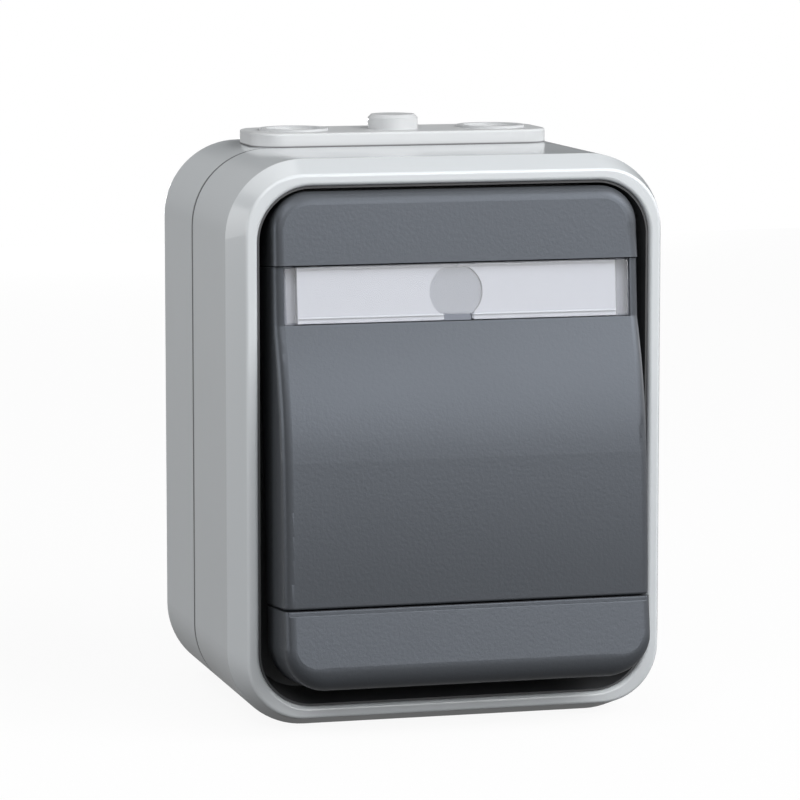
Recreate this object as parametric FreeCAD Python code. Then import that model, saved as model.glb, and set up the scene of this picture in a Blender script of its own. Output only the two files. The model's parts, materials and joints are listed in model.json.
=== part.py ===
import FreeCAD, Part
import math
import os

from FreeCAD import Vector

# Surface-mounted weatherproof rocker switch with a lit label window.
# The wall lies at Y = 0 and the front faces -Y. X runs to the right as seen from the front, Z points up,
# and the origin is the centre of the face that meets the wall. All lengths are in millimetres.
# A depth is a distance from the wall, so depth d lies at Y = -d.

# Housing
WIDTH = 66.0
HEIGHT = 83.0
CORNER_RADIUS = 11.4
WALL = 2.2
BACK_WALL = 2.4
BOX_DEPTH = 20.0
COVER_STRAIGHT = 22.5
BEVEL_DEPTH = 5.5
BEVEL_INSET = 1.9
RIM_WIDTH = 1.65
RIM_OUTER_ROUND = 0.5
RIM_INNER_ROUND = 0.6
RIM_CORNER = 8.4
OPENING_CORNER = 8.0
BACK_EDGE_ROUND = 0.6

# Seam between box and cover
SEAM_GAP = 0.3
SEAM_SKIN = 0.7
SEAL_WIDTH = 0.6
SEAL_DEPTH = 1.2

# Screws and posts of the housing
SCREW_RADIUS = 1.5
SCREW_FIT = 0.05
SCREW_HEAD_RADIUS = 2.6
SCREW_HEAD_HEIGHT = 1.6
SCREW_SLOT_WIDTH = 0.7
SCREW_SLOT_DEPTH = 0.7
SCREW_BITE = 9.0
HOLE_CLEARANCE = 0.2
WASHER_THICKNESS = 0.6
POST_RADIUS = 3.3
POST_INSET_X = 7.95
POST_INSET_Z = 7.45
FIXING_RADIUS = 2.25
FIXING_BOSS_RADIUS = 4.4
FIXING_BOSS_HEIGHT = 1.0

# Cable entry plate on top of the box
ENTRY_WIDTH = 46.0
ENTRY_FRONT_SETBACK = 0.0
ENTRY_DEPTH = 15.0
ENTRY_THICKNESS = 2.1
ENTRY_CORNER = 4.3
ENTRY_EDGE_ROUND = 0.35
ENTRY_NECK_MARGIN = 3.2
ENTRY_BARB = 1.0
ENTRY_BARB_HEIGHT = 1.2
ENTRY_FIT = 0.05
NUB_RADIUS = 3.8
NUB_HEIGHT = 2.2
NUB_CHAMFER = 0.5
MEMBRANE_RADIUS = 5.2
MEMBRANE_RISE = 0.35
MEMBRANE_RING = 1.0
MEMBRANE_SKIN = 0.8
MEMBRANE_SPACING = 15.5
ENTRY_BORE_WALL = 1.3

# Collar in the opening, and the web of the cover behind it
COLLAR_FIT = 0.05
COLLAR_LIP = 0.3
COLLAR_FOOT = 1.2
COLLAR_SETBACK = 0.6
FLOOR_THICKNESS = 1.2
FLOOR_CLEARANCE = 1.3
WEB = 1.8

# Rocker, measured level before it is tilted to its rest position
TILT = 5.0
PIVOT_SETBACK = 8.0
SIDE_GAP = 2.0
TOP_GAP = 1.55
BOTTOM_GAP = 2.5
TOP_CORNER = 5.6
BOTTOM_CORNER = 6.3
ROCKER_PROUD = 4.0
ROCKER_WALL = 1.6
SKIRT_DEPTH = 5.5
SIDE_ROUND = 1.5
TOP_ROUND = 2.0
BOTTOM_ROUND = 3.4
TOP_BAR_HEIGHT = 10.6
BOTTOM_BAR_HEIGHT = 11.75
BOTTOM_BAR_STEP = 0.4
BOTTOM_BAR_RAKE = 0.7
LEDGE_WIDTH = 0.55
LEDGE_DEPTH = 0.3
LEDGE_ROUND = 0.2
HEAD_PARTING = 0.15
FOOT_PARTING = 0.25
FOOT_ROUND = 0.35
CROWN = 2.5
CROWN_BELOW_AXIS = 2.5
CROWN_FALL = 0.8
PANEL_KINK_ROUND = 1.2
CARRIER_THICKNESS = 1.4
CARRIER_FIT = 0.15

# Label window
WINDOW_SETBACK = 0.6
WINDOW_MARGIN = 1.45
WINDOW_HEIGHT = 8.45
WINDOW_THICKNESS = 2.0
WINDOW_BORDER_SIDE = 1.9
WINDOW_BORDER_END = 0.65
WINDOW_POCKET = 0.6
WINDOW_FIT = 0.1
WINDOW_EDGE_ROUND = 0.3
TAB_WIDTH = 4.2
TAB_HEIGHT = 0.9
TAB_SETBACK = 0.15
CARD_THICKNESS = 0.4
RECESS_FLOOR = 1.2
GUIDE_RADIUS = 4.05
GUIDE_STEM_RADIUS = 3.0
GUIDE_FIT = 0.05

# Cradle that the rocker clips to
AXLE_RADIUS = 1.95
BEARING_FIT = 0.05
EAR_RADIUS = 3.0
EAR_THICKNESS = 3.0
EAR_EDGE = 2.4
EAR_CLEARANCE = 0.4
HUB_RADIUS = 2.6
NECK_HALF_WIDTH = 8.0
SADDLE_DEPTH = 5.2
SADDLE_THICKNESS = 1.8
SADDLE_HALF_HEIGHT = 9.0
SADDLE_INSET = 1.0
CLIP_HALF_WIDTH = 5.0
CLIP_THICKNESS = 1.4
CLIP_HOOK = 1.0
CLIP_FIT = 0.1
ARM_HALF = 3.4
ARM_REACH = 13.0
PLUNGER_RADIUS = 2.2
PLUNGER_FIT = 0.05
PLUNGER_LENGTH = 6.7
TIP_REACH = 16.2
TIP_CLEARANCE = 0.15
SPRING_ROOM = 6.8
SPRING_WIRE = 0.5
SPRING_TURNS = 5
SPRING_SIDE_GAP = 0.1
SPRING_END_GAP = 0.1

# Support plate and bridge
PLATE_THICKNESS = 1.2
PLATE_SPACE = 2.2
PLATE_SIDE_GAP = 3.3
PLATE_SCREW_INSET = 3.5
PLATE_POST_RADIUS = 3.4
PLATE_POST_GAP = 0.9
PLATE_SEAL_WIDTH = 2.0
PLATE_SEAL_EDGE = 0.5
PLATE_SEAL_GAP = 1.9
BRIDGE_THICKNESS = 2.0
BRIDGE_SEAL_GAP = 0.5
APERTURE_GAP = 0.8
RIVET_RADIUS = 1.0
RIVET_HEAD_RADIUS = 1.8
RIVET_HEAD_HEIGHT = 0.8
RIVET_LENGTH = 8.0
RIVET_FIT = 0.05
RIVET_INSET_X = 4.0
RIVET_INSET_Z = 8.0

# Mechanism block with its contacts and terminals
MECHANISM_DEPTH = 22.0
MECHANISM_SIDE_GAP = 1.6
MECHANISM_END_INSET = 6.5
MECHANISM_EDGE = 1.0
CHAMBER_HALF_WIDTH = 5.2
CHAMBER_WALL = 1.6
LEVER_TILT = 6.0
LEVER_THICKNESS = 1.0
LEVER_HALF_WIDTH = 2.5
LEVER_END_GAP = 1.5
LEVER_PIN_RADIUS = 1.2
LEVER_PIN_FIT = 0.05
LEVER_PIN_OFFSET = 0.2
FORK_GAP = 0.4
FORK_THICKNESS = 1.0
FORK_HALF_HEIGHT = 2.4
CONTACT_RADIUS = 1.5
CONTACT_HEIGHT = 0.7
CONTACT_INSET = 2.5
CONTACT_GAP = 0.15
STRIP_THICKNESS = 0.8
STRIP_HALF_WIDTH = 2.2
TERMINAL_SIZE = 6.4
TERMINAL_LENGTH = 5.8
TERMINAL_EDGE = 1.0
TERMINAL_ROOF = 0.5
TERMINAL_BACK = 2.9
TERMINAL_FIT = 0.1
WIRE_RADIUS = 1.5
WIRE_FUNNEL = 0.3
CLAMP_RADIUS = 1.2
CLAMP_HEAD_RADIUS = 2.2
CLAMP_HEAD_HEIGHT = 1.5

# Lamp behind the light guide
LAMP_EDGE = 4.0
LAMP_HOLDER_RADIUS = 3.2
LAMP_HOLDER_HEIGHT = 3.4
LAMP_RADIUS = 2.1
LAMP_LENGTH = 4.3
LAMP_HOLE_GAP = 0.4
LAMP_PIN_RADIUS = 0.45
LAMP_PIN_FIT = 0.05
LAMP_PIN_OFFSET = 1.6
LAMP_PIN_BITE = 3.5
LAMP_PIN_INSULATION = 0.7

# Depths from the wall
crease = BOX_DEPTH + COVER_STRAIGHT
rim = crease + BEVEL_DEPTH
pivot = rim - PIVOT_SETBACK
skirt = rim - SKIRT_DEPTH
bar_face = rim + ROCKER_PROUD
window_face = bar_face - WINDOW_SETBACK
crown_face = bar_face + CROWN
panel_foot = crown_face - CROWN_FALL
lower_bar_face = panel_foot + BOTTOM_BAR_STEP
card_front = window_face - WINDOW_THICKNESS
recess_face = card_front - CARD_THICKNESS
recess_back = recess_face - RECESS_FLOOR
carrier_back = pivot + SADDLE_DEPTH
carrier_front = carrier_back + CARRIER_THICKNESS

# Opening and rocker outlines
rim_inset = BEVEL_INSET + RIM_WIDTH
opening_width = WIDTH - 2 * rim_inset
opening_height = HEIGHT - 2 * rim_inset
opening_radius = OPENING_CORNER
rocker_half_width = opening_width / 2 - SIDE_GAP
rocker_top = opening_height / 2 - TOP_GAP
rocker_bottom = BOTTOM_GAP - opening_height / 2
top_bar_foot = rocker_top - TOP_BAR_HEIGHT
bottom_bar_head = rocker_bottom + BOTTOM_BAR_HEIGHT
panel_top = top_bar_foot - HEAD_PARTING
panel_bottom = bottom_bar_head + FOOT_PARTING
window_bottom = panel_top - WINDOW_HEIGHT
window_half_width = rocker_half_width - WINDOW_MARGIN
lamp_height = panel_top - WINDOW_HEIGHT / 2

# Stack behind the collar
tilt = math.radians(TILT)
floor_front = skirt - rocker_top * math.sin(tilt) - FLOOR_CLEARANCE
collar_back = floor_front - FLOOR_THICKNESS
web_back = collar_back - WEB
plate_front = web_back - PLATE_SPACE
plate_back = plate_front - PLATE_THICKNESS
bridge_front = plate_front + BRIDGE_THICKNESS
mechanism_back = plate_back - MECHANISM_DEPTH

# Places across the housing
post_x = opening_width / 2 - POST_INSET_X
post_z = opening_height / 2 - POST_INSET_Z
plate_half_width = WIDTH / 2 - WALL - PLATE_SIDE_GAP
plate_screw_x = plate_half_width - PLATE_SCREW_INSET
seal_half_width = plate_screw_x - SCREW_HEAD_RADIUS - PLATE_SEAL_GAP
bridge_half_width = seal_half_width - PLATE_SEAL_WIDTH - BRIDGE_SEAL_GAP
bridge_half_height = lamp_height + LAMP_EDGE
seal_half_height = bridge_half_height + BRIDGE_SEAL_GAP + PLATE_SEAL_WIDTH
plate_half_height = seal_half_height + PLATE_SEAL_EDGE
ear_outer = bridge_half_width - EAR_EDGE
ear_inner = ear_outer - EAR_THICKNESS
hub_half_width = ear_inner - EAR_CLEARANCE
saddle_half_width = hub_half_width - SADDLE_INSET
aperture_half_height = ARM_HALF + ARM_REACH * math.sin(tilt) + APERTURE_GAP

# Mechanism block
mechanism_half_width = plate_screw_x - PLATE_POST_RADIUS - MECHANISM_SIDE_GAP
mechanism_half_height = plate_half_height - MECHANISM_END_INSET
terminal_outer_z = mechanism_half_height - TERMINAL_EDGE
terminal_inner_z = terminal_outer_z - TERMINAL_LENGTH
terminal_outer_x = mechanism_half_width - TERMINAL_EDGE
terminal_inner_x = terminal_outer_x - TERMINAL_LENGTH
chamber_half_height = terminal_inner_z - CHAMBER_WALL
lever_half_length = chamber_half_height - LEVER_END_GAP
contact_z = lever_half_length - CONTACT_INSET
lever_tilt = math.radians(LEVER_TILT)
lever_face = pivot - TIP_REACH - TIP_CLEARANCE
lever_back = lever_face - LEVER_THICKNESS
lever_axis = lever_back - LEVER_PIN_OFFSET
lever_drop = (contact_z + CONTACT_RADIUS) * math.sin(lever_tilt)
fixed_contact = lever_axis - (CONTACT_HEIGHT - LEVER_PIN_OFFSET) - lever_drop - CONTACT_GAP
strip_front = fixed_contact - CONTACT_HEIGHT
strip_back = strip_front - STRIP_THICKNESS
terminal_front = strip_front + TERMINAL_ROOF
terminal_back = mechanism_back + TERMINAL_BACK


def at(x, depth, z):
    """Point at a distance from the wall."""
    return Vector(x, -depth, z)


def outline(width, height, radius, depth):
    """Closed wire of a centred rectangle with round corners, parallel to the wall."""
    w, h = width / 2, height / 2
    diagonal = radius * math.sqrt(0.5)
    edges = []
    for sx, sz in ((1, -1), (1, 1), (-1, 1), (-1, -1)):
        centre_x, centre_z = sx * (w - radius), sz * (h - radius)
        low_or_high = at(centre_x, depth, sz * h)
        side = at(sx * w, depth, centre_z)
        middle = at(centre_x + sx * diagonal, depth, centre_z + sz * diagonal)
        first, last = (low_or_high, side) if sx * sz < 0 else (side, low_or_high)
        if edges:
            edges.append(Part.LineSegment(edges[-1].EndPoint, first))
        edges.append(Part.Arc(first, middle, last))
    edges.append(Part.LineSegment(edges[-1].EndPoint, edges[0].StartPoint))
    return Part.Wire([edge.toShape() for edge in edges])


def slab(width, height, radius, back, front):
    """Plate with round corners between two depths."""
    return Part.Face(outline(width, height, radius, back)).extrude(Vector(0, back - front, 0))


def inset_slab(inset, back, front):
    """Slab with the outline of the housing, moved in by an inset."""
    return slab(WIDTH - 2 * inset, HEIGHT - 2 * inset, CORNER_RADIUS - inset, back, front)


def opening_slab(inset, back, front):
    """Slab with the outline of the cover's opening, moved in by an inset."""
    return slab(opening_width - 2 * inset, opening_height - 2 * inset, opening_radius - inset, back, front)


def block(x0, x1, back, front, z0, z1):
    """Box between two depths."""
    return Part.makeBox(x1 - x0, front - back, z1 - z0, at(x0, front, z0))


def rod(radius, back, front, x=0.0, z=0.0):
    """Cylinder that points away from the wall."""
    return Part.makeCylinder(radius, front - back, at(x, back, z), Vector(0, -1, 0))


def cross_rod(radius, x0, x1, depth, z=0.0):
    """Cylinder along X."""
    return Part.makeCylinder(radius, x1 - x0, at(x0, depth, z), Vector(1, 0, 0))


def upright(radius, z0, z1, x, depth):
    """Cylinder along Z."""
    return Part.makeCylinder(radius, z1 - z0, at(x, depth, z0), Vector(0, 0, 1))


def extrude_side(edges, half_width):
    """Solid of a side-view outline, extruded over the full width."""
    wire = Part.Wire([edge.toShape() for edge in edges])
    solid = Part.Face(wire).extrude(Vector(2 * half_width, 0, 0))
    return solid.translated(Vector(-half_width, 0, 0))


def round_edges(solid, edges, radius):
    return solid.makeFillet(radius, edges) if edges else solid


def edges_at_depth(solid, depth):
    """Edges that lie in one plane parallel to the wall."""
    found = []
    for edge in solid.Edges:
        box = edge.BoundBox
        if abs(box.YMin + depth) < 1e-4 and abs(box.YMax + depth) < 1e-4:
            found.append(edge)
    return found


def fillet_by_radius(solid, radii):
    """Round each listed edge with its own start and end radius."""
    document = FreeCAD.newDocument("rounding")
    base = document.addObject("Part::Feature", "base")
    base.Shape = solid
    fillet = document.addObject("Part::Fillet", "fillet")
    fillet.Base = base
    fillet.Edges = radii
    document.recompute()
    result = fillet.Shape.Solids[0].copy()
    FreeCAD.closeDocument(document.Name)
    return result


def tilted(shape):
    """Turn a piece of the rocker from level to its rest position."""
    return shape.rotated(at(0, pivot, 0), Vector(1, 0, 0), -TILT)


def lever_tilted(shape):
    """Turn a piece of the contact lever from level to its rest position."""
    return shape.rotated(at(0, lever_axis, 0), Vector(1, 0, 0), LEVER_TILT)


def both_sides(shape):
    """A shape with its mirror image across the middle plane."""
    return [shape, shape.mirror(Vector(0, 0, 0), Vector(1, 0, 0))]


def slotted_screw(shank_back, seat, head_radius, head_height):
    """Screw on the depth axis with a driver slot across its head."""
    screw = rod(SCREW_RADIUS, shank_back, seat).fuse(rod(head_radius, seat, seat + head_height))
    top = seat + head_height
    half_slot = SCREW_SLOT_WIDTH / 2
    slot = block(-head_radius, head_radius, top - SCREW_SLOT_DEPTH, top, -half_slot, half_slot)
    return screw.cut(slot).removeSplitter()


# Positions that come in pairs
cover_posts = [(post_x, post_z), (-post_x, -post_z)]
wall_fixings = [(-post_x, post_z), (post_x, -post_z)]
plate_posts = [(plate_screw_x, 0.0), (-plate_screw_x, 0.0)]
rivets = [
    (sx * (bridge_half_width - RIVET_INSET_X), sz * (bridge_half_height - RIVET_INSET_Z))
    for sx in (1, -1)
    for sz in (1, -1)
]

# Cable entry, on the top wall of the box
entry_front = BOX_DEPTH - ENTRY_FRONT_SETBACK
entry_middle = entry_front - ENTRY_DEPTH / 2
box_top = HEIGHT / 2
neck_width = ENTRY_WIDTH - 2 * ENTRY_NECK_MARGIN
neck_depth = ENTRY_DEPTH - 2 * ENTRY_NECK_MARGIN


def entry_layer(width, depth, radius, z0, z1):
    """Rounded plate parallel to the box's top wall."""
    layer = slab(width, depth, radius, 0, z1 - z0)
    layer = layer.rotated(Vector(0, 0, 0), Vector(1, 0, 0), -90)
    return layer.translated(Vector(0, -entry_middle, z0))


def make_back_box():
    """Rear half of the housing with its posts, wall fixings and cable cut-out."""
    shell = inset_slab(0, 0, BOX_DEPTH)
    shell = round_edges(shell, edges_at_depth(shell, 0), BACK_EDGE_ROUND)
    box = shell.cut(inset_slab(WALL, BACK_WALL, BOX_DEPTH))
    for x, z in cover_posts:
        box = box.fuse(rod(POST_RADIUS, BACK_WALL, web_back, x, z))
        box = box.cut(rod(SCREW_RADIUS + SCREW_FIT, collar_back - SCREW_BITE - SCREW_FIT, web_back, x, z))
    for x, z in plate_posts:
        box = box.fuse(rod(PLATE_POST_RADIUS, BACK_WALL, plate_back, x, z))
        box = box.cut(rod(SCREW_RADIUS + SCREW_FIT, plate_front - SCREW_BITE - SCREW_FIT, plate_back, x, z))
    for x, z in wall_fixings:
        box = box.fuse(rod(FIXING_BOSS_RADIUS, BACK_WALL, BACK_WALL + FIXING_BOSS_HEIGHT, x, z))
        box = box.cut(rod(FIXING_RADIUS, 0, BACK_WALL + FIXING_BOSS_HEIGHT, x, z))
    seal_inset = SEAM_SKIN + (WALL - SEAM_SKIN - SEAL_WIDTH) / 2
    groove = inset_slab(seal_inset, BOX_DEPTH - SEAL_DEPTH, BOX_DEPTH)
    groove = groove.cut(inset_slab(seal_inset + SEAL_WIDTH, BOX_DEPTH - SEAL_DEPTH, BOX_DEPTH))
    box = box.cut(groove)
    neck_hole = entry_layer(
        neck_width + 2 * ENTRY_FIT, neck_depth + 2 * ENTRY_FIT, neck_depth / 2, box_top - 2 * WALL, box_top
    )
    return box.cut(neck_hole).removeSplitter(), groove


def make_cover_frame():
    """Front half of the housing: straight sides, bevel, rounded rim and a web behind the opening."""
    straight = inset_slab(0, BOX_DEPTH, crease)
    front_outline = outline(
        WIDTH - 2 * BEVEL_INSET, HEIGHT - 2 * BEVEL_INSET, RIM_CORNER, rim
    )
    bevel = Part.makeLoft([outline(WIDTH, HEIGHT, CORNER_RADIUS, crease), front_outline], True, True)
    shell = straight.fuse(bevel).removeSplitter()
    shell = shell.cut(opening_slab(0, collar_back, rim))
    front_edges = edges_at_depth(shell, rim)
    outer = [edge for edge in front_edges if not lies_in_opening(edge)]
    shell = round_edges(shell, outer, RIM_OUTER_ROUND)
    inner = [edge for edge in edges_at_depth(shell, rim) if lies_in_opening(edge)]
    shell = round_edges(shell, inner, RIM_INNER_ROUND)
    shell = shell.cut(inset_slab(WALL, BOX_DEPTH, web_back))
    seam_front = BOX_DEPTH + SEAM_GAP
    skin = inset_slab(0, BOX_DEPTH, seam_front).cut(inset_slab(SEAM_SKIN, BOX_DEPTH, seam_front))
    shell = shell.cut(skin)
    return cut_floor_openings(shell, web_back, collar_back, SCREW_RADIUS + HOLE_CLEARANCE).removeSplitter()


def lies_in_opening(edge):
    """True for an edge on the inner loop of the rim."""
    box = edge.BoundBox
    margin = RIM_WIDTH / 2
    inside_x = max(abs(box.XMin), abs(box.XMax)) < opening_width / 2 + margin
    inside_z = max(abs(box.ZMin), abs(box.ZMax)) < opening_height / 2 + margin
    return inside_x and inside_z


def cut_floor_openings(shape, back, front, screw_hole_radius):
    """Openings that the web and the collar's floor share: bearing ears, lamp and screws."""
    width = 2 * (ear_outer + APERTURE_GAP)
    shape = shape.cut(slab(width, 2 * aperture_half_height, APERTURE_GAP, back, front))
    shape = shape.cut(rod(LAMP_HOLDER_RADIUS + LAMP_HOLE_GAP, back, front, 0, lamp_height))
    for x, z in cover_posts:
        shape = shape.cut(rod(screw_hole_radius, back, front, x, z))
    return shape


def make_collar():
    """Dark tray that lines the opening and hides the mechanism."""
    front = rim - COLLAR_SETBACK
    tray = opening_slab(COLLAR_FIT, collar_back, front)
    wires = []
    for inset, depth in ((COLLAR_FOOT, floor_front), (COLLAR_LIP, front)):
        step = 2 * (COLLAR_FIT + inset)
        wires.append(outline(opening_width - step, opening_height - step, opening_radius - step / 2, depth))
    tray = tray.cut(Part.makeLoft(wires, True, True))
    tray = cut_floor_openings(tray, collar_back, floor_front, SCREW_HEAD_RADIUS + HOLE_CLEARANCE)
    return tray.removeSplitter()


def make_cable_entry():
    """Soft entry plate: flange on the wall, neck through it, barb inside, and three closed entries."""
    top = box_top + ENTRY_THICKNESS
    flange = entry_layer(ENTRY_WIDTH, ENTRY_DEPTH, ENTRY_CORNER, box_top, top)
    upper = [edge for edge in flange.Edges if edge.BoundBox.ZMin > top - 1e-4]
    plate = flange.makeFillet(ENTRY_EDGE_ROUND, upper)
    wall_inside = box_top - WALL
    plate = plate.fuse(entry_layer(neck_width, neck_depth, neck_depth / 2 - ENTRY_FIT, wall_inside, box_top))
    barb_foot = wall_inside - ENTRY_BARB_HEIGHT
    barb = entry_layer(
        neck_width + 2 * ENTRY_BARB, neck_depth + 2 * ENTRY_BARB, neck_depth / 2, barb_foot, wall_inside
    )
    plate = plate.fuse(barb)
    nub = upright(NUB_RADIUS, top, top + NUB_HEIGHT, 0, entry_middle)
    nub_rim = [edge for edge in nub.Edges if edge.BoundBox.ZMin > top + NUB_HEIGHT - 1e-4]
    plate = plate.fuse(nub.makeChamfer(NUB_CHAMFER, nub_rim))
    nub_bore_top = top + NUB_HEIGHT - MEMBRANE_SKIN
    plate = plate.cut(upright(NUB_RADIUS - ENTRY_BORE_WALL, barb_foot, nub_bore_top, 0, entry_middle))
    for x in (MEMBRANE_SPACING, -MEMBRANE_SPACING):
        plate = plate.fuse(upright(MEMBRANE_RADIUS, top, top + MEMBRANE_RISE, x, entry_middle))
        dish = upright(MEMBRANE_RADIUS - MEMBRANE_RING, top, top + MEMBRANE_RISE, x, entry_middle)
        bore_radius = neck_depth / 2 - ENTRY_BORE_WALL
        bore = upright(bore_radius, barb_foot, top - MEMBRANE_SKIN, x, entry_middle)
        plate = plate.cut(dish).cut(bore)
    return plate.removeSplitter()


def rocker_slab(corner, front, inset=0.0):
    """Slab with the rocker's front outline, moved in by an inset."""
    width = 2 * (rocker_half_width - inset)
    height = rocker_top - rocker_bottom - 2 * inset
    blank = slab(width, height, corner - inset, skirt, front)
    return blank.translated(Vector(0, 0, (rocker_top + rocker_bottom) / 2))


def make_top_bar():
    """Upper bar of the rocker, flat in front, with a softer edge along its top."""
    width = rocker_half_width
    bar = rocker_slab(TOP_CORNER, bar_face)
    bar = bar.common(block(-width, width, skirt, bar_face, top_bar_foot, rocker_top))
    radii = []
    for number, edge in enumerate(bar.Edges, 1):
        box = edge.BoundBox
        on_face = abs(box.YMin + bar_face) < 1e-4 and abs(box.YMax + bar_face) < 1e-4
        if not on_face or box.ZMax < top_bar_foot + 1e-4:
            continue
        radii.append((number, *end_radii(edge, rocker_top, TOP_ROUND)))
    bar = fillet_by_radius(bar, radii)
    inner = rocker_slab(TOP_CORNER, bar_face - ROCKER_WALL, ROCKER_WALL)
    room = block(-width, width, skirt, bar_face, top_bar_foot + ROCKER_WALL, rocker_top)
    return bar.cut(inner.common(room))


def end_radii(edge, end_height, end_round):
    """Radii at both ends of a rim edge: the end's own on the end face, the sides' elsewhere."""
    radii = []
    for parameter in (edge.FirstParameter, edge.LastParameter):
        point = edge.valueAt(parameter)
        radii.append(end_round if abs(point.z - end_height) < 1e-4 else SIDE_ROUND)
    if edge.Orientation == "Reversed":
        radii.reverse()
    return radii


def front_edges(shape, height, behind):
    """Edges that run across the front at one height, in front of a given depth."""
    found = []
    for edge in shape.Edges:
        box = edge.BoundBox
        level = abs(box.ZMin - height) < 1e-4 and abs(box.ZMax - height) < 1e-4
        if level and box.XLength > 5 and -box.YMax > behind:
            found.append(edge)
    return found


def make_bottom_bar():
    """Lower bar of the rocker: raked face that leans out towards the bottom, with a ledge at its head."""
    width = rocker_half_width
    toe_face = lower_bar_face + BOTTOM_BAR_RAKE
    points = [
        at(0, skirt, bottom_bar_head),
        at(0, lower_bar_face, bottom_bar_head),
        at(0, toe_face, rocker_bottom),
        at(0, skirt, rocker_bottom),
    ]
    sides = [Part.LineSegment(points[i], points[(i + 1) % 4]) for i in range(4)]
    bar = extrude_side(sides, width).common(rocker_slab(BOTTOM_CORNER, toe_face))
    radii = []
    for number, edge in enumerate(bar.Edges, 1):
        box = edge.BoundBox
        behind = -box.YMax < lower_bar_face - 1e-4
        if behind or box.ZMin > bottom_bar_head - 1e-4:
            continue
        radii.append((number, *end_radii(edge, rocker_bottom, BOTTOM_ROUND)))
    bar = fillet_by_radius(bar, radii)
    ledge_face = lower_bar_face - LEDGE_DEPTH
    step = bottom_bar_head - LEDGE_WIDTH
    bar = bar.cut(block(-width, width, ledge_face, toe_face, step, bottom_bar_head))
    bar = round_edges(bar, front_edges(bar, step, ledge_face + LEDGE_ROUND / 2), LEDGE_ROUND)
    bar = round_edges(bar, front_edges(bar, bottom_bar_head, ledge_face - LEDGE_ROUND / 2), LEDGE_ROUND)
    inner = rocker_slab(BOTTOM_CORNER, lower_bar_face - ROCKER_WALL, ROCKER_WALL)
    room = block(-width, width, skirt, toe_face, rocker_bottom, bottom_bar_head - ROCKER_WALL)
    return bar.cut(inner.common(room))


def make_rocker_frame():
    """Both bars of the rocker, joined by the carrier plate with its two clips."""
    half = rocker_half_width - ROCKER_WALL - CARRIER_FIT
    carrier = block(
        -half, half, carrier_back, carrier_front, bottom_bar_head - ROCKER_WALL, top_bar_foot + ROCKER_WALL
    )
    hook_front = carrier_back - SADDLE_THICKNESS - CLIP_FIT
    hook_back = hook_front - CLIP_HOOK
    for sign in (1, -1):
        inner_z = sign * (SADDLE_HALF_HEIGHT + CLIP_FIT)
        outer_z = sign * (SADDLE_HALF_HEIGHT + CLIP_FIT + CLIP_THICKNESS)
        hook_z = sign * (SADDLE_HALF_HEIGHT + CLIP_FIT - CLIP_HOOK)
        low, high = sorted((inner_z, outer_z))
        carrier = carrier.fuse(block(-CLIP_HALF_WIDTH, CLIP_HALF_WIDTH, hook_back, carrier_back, low, high))
        low, high = sorted((hook_z, inner_z))
        carrier = carrier.fuse(block(-CLIP_HALF_WIDTH, CLIP_HALF_WIDTH, hook_back, hook_front, low, high))
    light_hole = rod(GUIDE_RADIUS, carrier_back, carrier_front, 0, lamp_height)
    frame = make_top_bar().fuse([make_bottom_bar(), carrier.cut(light_hole)])
    return tilted(frame.removeSplitter())


def bulge(start, apex, height):
    """Arc from a point to an apex where it runs level, both given as depth and height."""
    depth = apex - start[0]
    reach = height - start[1]
    radius = (reach**2 + depth**2) / (2 * depth)
    half_angle = math.asin(reach / radius) / 2
    middle_depth = apex - radius * (1 - math.cos(half_angle))
    middle_height = height - radius * math.sin(half_angle)
    return Part.Arc(at(0, *start), at(0, middle_depth, middle_height), at(0, apex, height))


def panel_profile(inset):
    """Side view of the panel, moved in behind its front by an inset."""
    top = panel_top - inset
    shoulder = window_bottom - inset
    upper_face = window_face if inset == 0 else recess_back
    crown_height = -CROWN_BELOW_AXIS
    bottom = panel_bottom + inset
    shoulder_face = window_face - inset
    edges = [
        Part.LineSegment(at(0, skirt, top), at(0, upper_face, top)),
        Part.LineSegment(at(0, upper_face, top), at(0, upper_face, shoulder)),
    ]
    if inset:
        edges.append(Part.LineSegment(at(0, upper_face, shoulder), at(0, shoulder_face, shoulder)))
    edges.append(bulge((shoulder_face, shoulder), crown_face - inset, crown_height))
    edges.append(bulge((panel_foot - inset, bottom), crown_face - inset, crown_height))
    edges.append(Part.LineSegment(at(0, panel_foot - inset, bottom), at(0, skirt, bottom)))
    edges.append(Part.LineSegment(at(0, skirt, bottom), at(0, skirt, top)))
    return edges


def make_rocker_panel():
    """Crowned middle panel with the window's recess along its top."""
    width = rocker_half_width
    panel = extrude_side(panel_profile(0), width)
    kink = [
        edge
        for edge in panel.Edges
        if edge.BoundBox.XLength > width
        and abs(edge.BoundBox.ZMin - window_bottom) < 1e-4
        and abs(edge.BoundBox.YMin + window_face) < 1e-4
    ]
    panel = round_edges(panel, kink, PANEL_KINK_ROUND)
    side_rims = [
        edge
        for edge in panel.Edges
        if edge.BoundBox.XLength < 1e-4 and -edge.BoundBox.YMax > min(window_face, panel_foot) - 1e-3
    ]
    panel = round_edges(panel, side_rims, SIDE_ROUND)
    panel = round_edges(panel, front_edges(panel, panel_bottom, panel_foot - FOOT_ROUND / 2), FOOT_ROUND)
    panel = panel.cut(extrude_side(panel_profile(ROCKER_WALL), width - ROCKER_WALL))
    seat = block(-width + ROCKER_WALL, width - ROCKER_WALL, skirt, carrier_front, panel_bottom, panel_top)
    panel = panel.cut(seat)
    recess = block(-window_half_width, window_half_width, recess_face, crown_face, window_bottom, panel_top)
    panel = panel.cut(recess)
    stem_hole = rod(GUIDE_STEM_RADIUS + GUIDE_FIT, carrier_front, recess_face, 0, lamp_height)
    return tilted(panel.cut(stem_hole).removeSplitter())


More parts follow.
